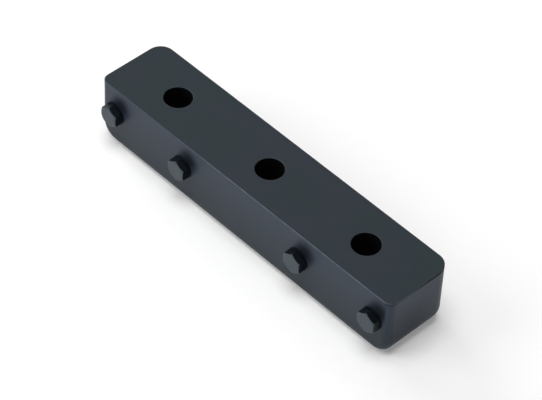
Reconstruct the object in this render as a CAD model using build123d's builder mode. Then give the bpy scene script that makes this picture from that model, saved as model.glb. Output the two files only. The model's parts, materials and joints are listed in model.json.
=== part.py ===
"""Mounting block with three clearance holes and four collared hex screws in its front face.

The block stands on its underside: +Z is up, X runs along the length, and the screw heads
face -Y. The origin is on the underside, on the axis of the middle hole, midway between the
ends. All sizes are in millimetres.
"""
import os
from math import tan, radians

from build123d import *

# --- driving dimensions: the block, milled all round from bar -------------------------------
BLOCK_LENGTH = 152.0
BLOCK_DEPTH = 30.5
BLOCK_HEIGHT = 28.0
END_FOOT_RADIUS = 7.2        # bend from each end into the underside
FRONT_EDGE_RADIUS = 3.2      # round up one side, along the bottom and up the other, in front
BACK_EDGE_RADIUS = 5.8       # the same round at the back
EDGE_BREAK = 0.2             # chamfer round the top face

# --- the three clearance holes, for M10 bolts -----------------------------------------------
HOLE_COUNT = 3
HOLE_DIAMETER = 11.0
HOLE_SETBACK = 14.75         # from the front face to the row's centre line
HOLE_EDGE_BREAK = 0.25

# --- the four M5 screws, in pairs that straddle the outer holes ------------------------------
SCREW_END_MARGIN = 7.9       # from the block's end to the outer screw
SCREW_DROP = 12.4            # from the top face to the screw axes
SCREW_PAIR_SPACING = 37.4
THREAD_DIAMETER = 5.0
THREAD_LENGTH = 16.0         # under the collar
THREAD_TIP_CHAMFER = 0.6
HEAD_ACROSS_FLATS = 8.0
HEAD_HEIGHT = 3.5            # collar included
COLLAR_DIAMETER = 9.5
COLLAR_THICKNESS = 0.6
CROWN_DIAMETER = 7.6         # flat left on top of the head by its turned chamfer
CROWN_ANGLE = 30.0           # slope of that chamfer

# --- the blind holes that take them, tapped with a fit on the plain thread ------------------
THREAD_CLEARANCE = 0.05      # radial, between the plain thread and its tapped hole
TAP_RUN = 2.0                # tapped depth past the screw's tip
TAP_DRILL_DIAMETER = 4.2
DRILL_RUN = 2.0              # drilled depth past the tapped one
DRILL_POINT_ANGLE = 118.0
MOUTH_BREAK = 0.4            # lead-in under the collar

# --- places worked out from the sizes above -------------------------------------------------
front_y = -HOLE_SETBACK
back_y = front_y + BLOCK_DEPTH
screw_z = BLOCK_HEIGHT - SCREW_DROP
outer_screw_x = BLOCK_LENGTH / 2 - SCREW_END_MARGIN
inner_screw_x = outer_screw_x - SCREW_PAIR_SPACING
hole_pitch = (outer_screw_x + inner_screw_x) / 2
screw_places = {
    "outer_left_screw": -outer_screw_x,
    "inner_left_screw": -inner_screw_x,
    "inner_right_screw": inner_screw_x,
    "outer_right_screw": outer_screw_x,
}

os.makedirs("parts", exist_ok=True)


def screw_axis(x):
    """The axis of the screw at this x, pointing out of the front face."""
    return Axis((x, front_y, screw_z), (0, -1, 0))


def screw_profile_plane(x):
    """A plane through a screw's axis: its x runs out from the axis, its y out of the front face."""
    return Plane(origin=(x, front_y, screw_z), x_dir=(1, 0, 0), z_dir=(0, 0, 1))


def screw_head_plane(x):
    """The seat of a screw on the front face, with its normal pointing out of the block."""
    return Plane(origin=(x, front_y, screw_z), x_dir=(1, 0, 0), z_dir=(0, -1, 0))


# --- block: a trough-shaped profile with rolled front and back edges, drilled and tapped -----
with BuildPart() as block:
    with BuildSketch(Plane.XZ.offset(-back_y)) as profile:
        with Locations((0, BLOCK_HEIGHT / 2)):
            Rectangle(BLOCK_LENGTH, BLOCK_HEIGHT)
        fillet(profile.vertices().group_by(Axis.Y)[0], END_FOOT_RADIUS)
    extrude(amount=BLOCK_DEPTH)
    front_rim = block.faces().sort_by(Axis.Y)[0].edges().sort_by(Axis.Z)[:-1]
    fillet(front_rim, FRONT_EDGE_RADIUS)
    back_rim = block.faces().sort_by(Axis.Y)[-1].edges().sort_by(Axis.Z)[:-1]
    fillet(back_rim, BACK_EDGE_RADIUS)
    chamfer(block.faces().sort_by(Axis.Z)[-1].edges(), EDGE_BREAK)

    with BuildSketch(Plane.XY.offset(BLOCK_HEIGHT)):
        with GridLocations(hole_pitch, 0, HOLE_COUNT, 1):
            Circle(HOLE_DIAMETER / 2)
    extrude(amount=-BLOCK_HEIGHT, mode=Mode.SUBTRACT)
    hole_mouths = block.edges(Select.LAST).filter_by(GeomType.CIRCLE)
    chamfer(hole_mouths, HOLE_EDGE_BREAK)

    tap_radius = THREAD_DIAMETER / 2 + THREAD_CLEARANCE
    tap_depth = THREAD_LENGTH + TAP_RUN
    drill_radius = TAP_DRILL_DIAMETER / 2
    drill_depth = tap_depth + DRILL_RUN
    point_depth = drill_depth + drill_radius / tan(radians(DRILL_POINT_ANGLE / 2))
    for x in screw_places.values():
        with BuildSketch(screw_profile_plane(x)):
            with BuildLine():
                Polyline(
                    (0, 0),
                    (tap_radius + MOUTH_BREAK, 0),
                    (tap_radius, MOUTH_BREAK),
                    (tap_radius, tap_depth),
                    (drill_radius, tap_depth),
                    (drill_radius, drill_depth),
                    (0, point_depth),
                    close=True,
                )
            make_face()
        revolve(axis=screw_axis(x), mode=Mode.SUBTRACT)

block.part.label = "block"
export_step(block.part, "parts/block.step")


# --- screws: hex head with a turned crown on a round collar, and a plain thread ---------------
for name, x in screw_places.items():
    with BuildPart() as screw:
        with BuildSketch(screw_head_plane(x)):
            Circle(COLLAR_DIAMETER / 2)
        extrude(amount=COLLAR_THICKNESS)
        with BuildSketch(screw_head_plane(x).offset(COLLAR_THICKNESS)):
            RegularPolygon(HEAD_ACROSS_FLATS / 2, 6, major_radius=False, rotation=30)
        extrude(amount=HEAD_HEIGHT - COLLAR_THICKNESS)

        envelope_radius = max(HEAD_ACROSS_FLATS, COLLAR_DIAMETER)
        crown_radius = CROWN_DIAMETER / 2
        crown_drop = (envelope_radius - crown_radius) * tan(radians(CROWN_ANGLE))
        with BuildSketch(screw_profile_plane(x)):
            with BuildLine():
                Polyline(
                    (0, 0),
                    (0, -HEAD_HEIGHT),
                    (crown_radius, -HEAD_HEIGHT),
                    (envelope_radius, crown_drop - HEAD_HEIGHT),
                    (envelope_radius, 0),
                    close=True,
                )
            make_face()
        revolve(axis=screw_axis(x), mode=Mode.INTERSECT)

        with BuildSketch(screw_head_plane(x)):
            Circle(THREAD_DIAMETER / 2)
        extrude(amount=-THREAD_LENGTH)
        chamfer(screw.faces().sort_by(Axis.Y)[-1].edges(), THREAD_TIP_CHAMFER)

    screw.part.label = name
    export_step(screw.part, f"parts/{name}.step")
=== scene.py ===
import json
from math import cos, radians, sin

import bpy
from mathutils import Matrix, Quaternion, Vector


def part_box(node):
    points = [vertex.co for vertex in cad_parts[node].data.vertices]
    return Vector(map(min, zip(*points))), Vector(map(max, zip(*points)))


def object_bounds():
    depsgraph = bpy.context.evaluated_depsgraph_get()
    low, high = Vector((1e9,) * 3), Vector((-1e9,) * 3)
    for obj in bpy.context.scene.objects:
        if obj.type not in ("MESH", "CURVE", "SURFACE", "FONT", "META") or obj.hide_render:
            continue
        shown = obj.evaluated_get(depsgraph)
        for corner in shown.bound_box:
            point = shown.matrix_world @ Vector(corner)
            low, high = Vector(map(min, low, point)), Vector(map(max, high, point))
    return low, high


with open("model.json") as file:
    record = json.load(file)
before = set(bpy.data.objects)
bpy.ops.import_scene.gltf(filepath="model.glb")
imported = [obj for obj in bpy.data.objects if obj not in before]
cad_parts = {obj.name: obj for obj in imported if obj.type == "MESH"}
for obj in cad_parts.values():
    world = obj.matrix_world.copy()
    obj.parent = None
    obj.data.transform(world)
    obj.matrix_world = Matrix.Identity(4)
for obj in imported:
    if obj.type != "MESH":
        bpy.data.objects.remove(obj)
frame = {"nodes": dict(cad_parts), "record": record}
cad_low, cad_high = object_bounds()

# ------------------------------------------------------------------------------------------
# The block: one length of steel bar with rounded foot corners, rolled front and back rims and
# a fine chamfer round the top. It is drilled, tapped and blacked, so the oxide is satin and
# thins to bare metal only on the chamfers. The lighter front top chamfer is partly that wear
# and partly a painted highlight.
# ------------------------------------------------------------------------------------------
block_low, block_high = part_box("block")
OXIDE_BLUE = (0.021, 0.027, 0.037)
OXIDE_GREEN = (0.017, 0.028, 0.030)
# The side colours are painted light up high and painted shade low, on the front and right end.
SIDE_HIGH_PAINTED_LIGHT = (0.028, 0.040, 0.065)
SIDE_LOW_PAINTED_SHADE = (0.015, 0.024, 0.034)
# The edge colour is partly bare-metal wear and partly a painted highlight.
WORN_EDGE_AND_HIGHLIGHT = (0.13, 0.145, 0.165)
# A near-black that is painted shade: it fills the holes and darkens the painted shadows.
PAINTED_SHADE_BLACK = (0.0015, 0.0017, 0.0019)
OXIDE_ROUGHNESS = 0.45
SHEEN_BLUE = (0.80, 0.90, 1.00)
FRONT_MM = 1000 * -block_low.y
RIGHT_MM = 1000 * block_high.x
TOP_MM = 1000 * block_high.z
SCREW_SIDES = ("outer_left", "inner_left", "inner_right", "outer_right")
PATCH_SHIFT = 3.5
PATCH_RISE = 6.1
PATCH_CORE = 1.0
PATCH_REACH = 6.5
PATCH_STRENGTH = 0.70


class Shade:
    """A socket in a finish's nodes. Sums with it add Math nodes, and put() adds any other node."""

    def __init__(self, tree, socket=None):
        self.tree = tree
        self.socket = socket

    def put(self, kind, settings, values, out=0):
        """Adds a node, makes its settings, fills or links its inputs and wraps one output."""
        node = self.tree.nodes.new("ShaderNode" + kind)
        for name, setting in settings.items():
            setattr(node, name, setting)
        for name, value in values.items():
            if isinstance(value, Shade):
                self.tree.links.new(value.socket, node.inputs[name])
            elif isinstance(value, tuple) and node.inputs[name].type == "RGBA":
                node.inputs[name].default_value = (*value, 1.0)
            else:
                node.inputs[name].default_value = value
        return Shade(self.tree, node.outputs[out] if node.outputs else None)

    def sum(self, operation, first, second):
        return self.put("Math", {"operation": operation}, {0: first, 1: second})

    def __add__(self, other):
        return self.sum("ADD", self, other)

    __radd__ = __add__

    def __sub__(self, other):
        return self.sum("SUBTRACT", self, other)

    def __rsub__(self, other):
        return self.sum("SUBTRACT", other, self)

    def __mul__(self, other):
        return self.sum("MULTIPLY", self, other)

    __rmul__ = __mul__

    def rise(self, start, end):
        """0 up to start, 1 from end on, and a smooth step between them."""
        limits = {"Value": self, "From Min": start, "From Max": end}
        return self.put("MapRange", {"interpolation_type": "SMOOTHSTEP"}, limits)

    def blend(self, low, high):
        """The colour low where this mask is 0, and high where it is 1."""
        return self.put("Mix", {"data_type": "RGBA"}, {0: self, 6: low, 7: high}, 2)


def new_finish(name):
    """An empty material and a Shade that adds to it."""
    finish = bpy.data.materials.new(name)
    finish.use_nodes = True
    finish.node_tree.nodes.clear()
    return finish, Shade(finish.node_tree)


def speckle(place, size, stretch=(1, 1, 1), detail=2.0):
    """Noise from 0 to 1 whose grains are about that many millimetres across."""
    scaled = place.put("VectorMath", {"operation": "MULTIPLY"}, {0: place, 1: stretch})
    return place.put("TexNoise", {}, {"Vector": scaled, "Scale": 1 / size, "Detail": detail})


def wrap(finish, surface):
    surface.put("OutputMaterial", {}, {"Surface": surface})
    return finish


def place_in_mm(shade):
    """The place on the part in millimetres, and its normal, both in the part's own frame."""
    metres = shade.put("TexCoord", {}, {}, "Object")
    place = shade.put("VectorMath", {"operation": "SCALE"}, {0: metres, "Scale": 1000.0})
    return place, shade.put("TexCoord", {}, {}, "Normal")


def axis_parts(vector):
    """The X, Y and Z of a vector, each as a Shade."""
    return [vector.put("SeparateXYZ", {}, {0: vector}, axis) for axis in "XYZ"]


def block_finish():
    finish, shade = new_finish("blacked_block")
    place, normal = place_in_mm(shade)
    across, along, up = axis_parts(normal)
    x, y, z = axis_parts(place)

    cloud = speckle(place, 22.0)
    mottle = speckle(place, 3.0)
    tooth = speckle(place, 0.22)
    lay = speckle(place, 0.5, (0.04, 1.0, 1.0))

    # Lighter chamfers are bare-metal wear, plus a painted highlight on the front top chamfer to
    # the right.
    chamfer = up.rise(0.45, 0.65) * (1 - up.rise(0.78, 0.92))
    painted_highlight_ridge = (0 - y).rise(FRONT_MM - 1.4, FRONT_MM - 0.4) * x.rise(-50.0, 10.0)
    wear_and_highlight = chamfer * (0.55 + 0.45 * mottle.rise(0.3, 0.7)) * (0.35 + 0.65 * painted_highlight_ridge)

    # The top, back and left end are a blotchy blue-green. The front and right end are painted
    # bluer and lighter towards the top and darker towards the foot, as painted light and shade.
    top = (cloud * 0.6 + mottle * 0.4).rise(0.35, 0.65).blend(OXIDE_BLUE, OXIDE_GREEN)
    side = (z + (cloud - 0.5) * 6.0).rise(2.0, 30.0).blend(SIDE_LOW_PAINTED_SHADE, SIDE_HIGH_PAINTED_LIGHT)
    painted_light_sides = (across - along).rise(0.3, 0.9) * (1 - up.rise(0.6, 0.9))
    colour = painted_light_sides.blend(top, side)
    colour = wear_and_highlight.blend(colour, WORN_EDGE_AND_HIGHLIGHT)
    roughness = OXIDE_ROUGHNESS + (tooth - 0.5) * 0.12 + (cloud - 0.5) * 0.08
    relief = tooth * 0.7 + lay * 0.3
    bump = shade.put("Bump", {}, {"Height": relief, "Strength": 0.12, "Distance": 0.0001})
    oxide = shade.put(
        "BsdfPrincipled",
        {},
        {
            "Base Color": colour,
            "Roughness": roughness,
            "IOR": 1.36,
            "Specular Tint": SHEEN_BLUE,
            "Normal": bump,
        },
    )

    # Inside the holes the oxide is painted a flat near-black that almost no light comes back from,
    # as painted shade in the hollows.
    painted_shade = None
    for mount in frame["record"]["mounts"]:
        if mount["kind"] != "bore":
            continue
        centre = [1000 * value for value in mount["pos_m"]]
        from_axis = shade.put(
            "VectorMath",
            {"operation": "LENGTH"},
            {0: shade.put("CombineXYZ", {}, {"X": x - centre[0], "Y": y - centre[1]})},
            "Value",
        )
        here = 1 - from_axis.rise(mount["dims"]["r_mm"] + 0.02, mount["dims"]["r_mm"] + 0.12)
        painted_shade = here if painted_shade is None else painted_shade + here

    # A soft dark patch on the front, up and to the right of each seat. It stands for the
    # shadow of the head, which the soft lamps alone leave too light.
    front = (0 - along).rise(0.9, 0.98)
    for side in SCREW_SIDES:
        low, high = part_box(side + "_screw")
        patch_x = 500 * (low.x + high.x) + PATCH_SHIFT
        patch_z = 500 * (low.z + high.z) + PATCH_RISE
        from_patch = shade.put(
            "VectorMath",
            {"operation": "LENGTH"},
            {0: shade.put("CombineXYZ", {}, {"X": x - patch_x, "Y": z - patch_z})},
            "Value",
        )
        painted_shade = painted_shade + (1 - from_patch.rise(PATCH_CORE, PATCH_REACH)) * front * PATCH_STRENGTH

    # A painted shadow: a fine dark line runs along the right end just under its top edge, and
    # darkens backwards.
    band = z.rise(TOP_MM - 1.5, TOP_MM - 1.1) * (1 - z.rise(TOP_MM - 0.45, TOP_MM - 0.2))
    painted_shadow_line = band * x.rise(RIGHT_MM - 3.0, RIGHT_MM - 2.0)
    painted_shade = painted_shade + painted_shadow_line * (0.3 + 0.6 * y.rise(-8.0, 8.0))

    # The right end is painted a little darker low down and towards the front, as painted shade.
    painted_shade_low = across.rise(0.9, 0.98) * (1 - y.rise(-4.0, 13.0)) * (1 - z.rise(9.0, 27.0))
    painted_shade = painted_shade + painted_shade_low * 0.2

    # The black below is painted shade, mixed in for the holes and every painted shadow above.
    bore = shade.put(
        "BsdfPrincipled",
        {},
        {"Base Color": PAINTED_SHADE_BLACK, "Roughness": 0.85, "IOR": 1.2},
    )
    return wrap(finish, shade.put("MixShader", {}, {0: painted_shade, 1: oxide, 2: bore}))


frame["nodes"]["block"].material_slots[0].material = block_finish()

# ------------------------------------------------------------------------------------------
# The screws: four M5 hex screws with a thin round collar, cold headed and blacked like the
# block. Each hex face is turned off to a crown, which is smoother than the blasted block.
# Away from the crown the blacking is painted near-black, as painted shade on the head's sides.
# ------------------------------------------------------------------------------------------
CROWN_GREY = (0.066, 0.084, 0.100)
SCREW_BLACK_PAINTED_SHADE = (0.002, 0.004, 0.007)
COLLAR_THICKNESS = 0.6
COLLAR_FRONT = FRONT_MM + COLLAR_THICKNESS


def screw_finish():
    finish, shade = new_finish("blacked_screw")
    place, normal = place_in_mm(shade)
    along = axis_parts(normal)[1]

    y = axis_parts(place)[1]

    mottle = speckle(place, 1.4)
    tooth = speckle(place, 0.15)
    past_collar = (0 - y).rise(COLLAR_FRONT + 0.5, COLLAR_FRONT + 1.0)
    crown = (0 - along).rise(0.6, 0.8) * past_collar

    # All but the crown takes the near-black, which is painted shade.
    colour = crown.blend(SCREW_BLACK_PAINTED_SHADE, CROWN_GREY)
    roughness = 0.45 + (mottle - 0.5) * 0.12
    bump = shade.put("Bump", {}, {"Height": tooth, "Strength": 0.1, "Distance": 0.0001})
    steel = shade.put(
        "BsdfPrincipled",
        {},
        {
            "Base Color": colour,
            "Roughness": roughness,
            "IOR": 1.3,
            "Specular Tint": SHEEN_BLUE,
            "Normal": bump,
        },
    )
    return wrap(finish, steel)


blacked_screw = screw_finish()
for side in SCREW_SIDES:
    frame["nodes"][side + "_screw"].material_slots[0].material = blacked_screw

# ------------------------------------------------------------------------------------------
# The studio: a pale sweep under the block, soft lamps, and the camera.
# ------------------------------------------------------------------------------------------
FLOOR_WIDTH = 12.0
FLOOR_GREY = (0.80, 0.80, 0.80)
SEEN_FLOOR = (0.86, 0.86, 0.86)
FLOOR_LIFT = (0.20, 0.20, 0.20)
SKY_GREY = (0.02, 0.02, 0.02)
WHITE = (1.0, 1.0, 1.0)
BLACK = (0.0, 0.0, 0.0)


def floor_finish():
    finish, shade = new_finish("pale_sweep")
    seen = shade.put("LightPath", {}, {}, "Is Camera Ray")
    mirrored = shade.put("LightPath", {}, {}, "Is Glossy Ray")
    direct = seen + mirrored
    sweep = shade.put(
        "BsdfPrincipled",
        {},
        {
            "Base Color": direct.blend(FLOOR_GREY, SEEN_FLOOR),
            "Emission Color": direct.blend(BLACK, FLOOR_LIFT),
            "Emission Strength": 1.0,
            "Roughness": 0.9,
        },
    )
    return wrap(finish, sweep)


bpy.ops.mesh.primitive_plane_add(size=FLOOR_WIDTH, location=(0, 0, cad_low.z))
floor = bpy.context.object
floor.name = "floor"
floor.data.materials.append(floor_finish())

world = bpy.data.worlds.new("studio")
bpy.context.scene.world = world
world.use_nodes = True
world.node_tree.nodes.clear()
sky = Shade(world.node_tree)
direct = sky.put("LightPath", {}, {}, "Is Camera Ray")
air = sky.put("Background", {}, {"Color": direct.blend(SKY_GREY, WHITE)})
air.put("OutputWorld", {}, {"Surface": air})


LAMP_DISTANCE = 2.2
LAMP_WIDTH = 1.4


def from_direction(azimuth, elevation):
    """The way out from the block towards that azimuth, 0 in front of it and 90 to its right."""
    a = radians(azimuth)
    e = radians(elevation)
    return Vector((sin(a) * cos(e), -cos(a) * cos(e), sin(e)))


def soft_lamp(name, azimuth, elevation, watts):
    lamp = bpy.data.lights.new(name, "AREA")
    lamp.shape = "DISK"
    lamp.size = LAMP_WIDTH
    lamp.energy = watts
    stand = bpy.data.objects.new(name, lamp)
    stand.location = LAMP_DISTANCE * from_direction(azimuth, elevation)
    stand.rotation_euler = stand.location.to_track_quat("Z", "Y").to_euler()
    stand.visible_camera = False
    bpy.context.scene.collection.objects.link(stand)


soft_lamp("front_left", -40, 35, 15)
soft_lamp("left", -95, 25, 19)
soft_lamp("back_left", -140, 40, 4.4)
soft_lamp("overhead", 0, 85, 29)
soft_lamp("front_right", 50, 20, 6.6)

CAMERA_AZIMUTH = 44.43
CAMERA_ELEVATION = 46.08
CAMERA_ROLL = 2.995
CAMERA_DISTANCE = 0.9581
CAMERA_AIM = Vector((0.00219, -0.00083, 0.014))
CAMERA_LENS = 174.77

camera = bpy.data.objects.new("camera", bpy.data.cameras.new("camera"))
camera.data.lens = CAMERA_LENS
camera.data.clip_start = 0.01
away = from_direction(CAMERA_AZIMUTH, CAMERA_ELEVATION)
camera.location = CAMERA_AIM + CAMERA_DISTANCE * away
upright = away.to_track_quat("Z", "Y")
camera.rotation_euler = (upright @ Quaternion((0, 0, 1), radians(CAMERA_ROLL))).to_euler()
bpy.context.scene.collection.objects.link(camera)
bpy.context.scene.camera = camera
bpy.context.scene.view_settings.view_transform = "Standard"
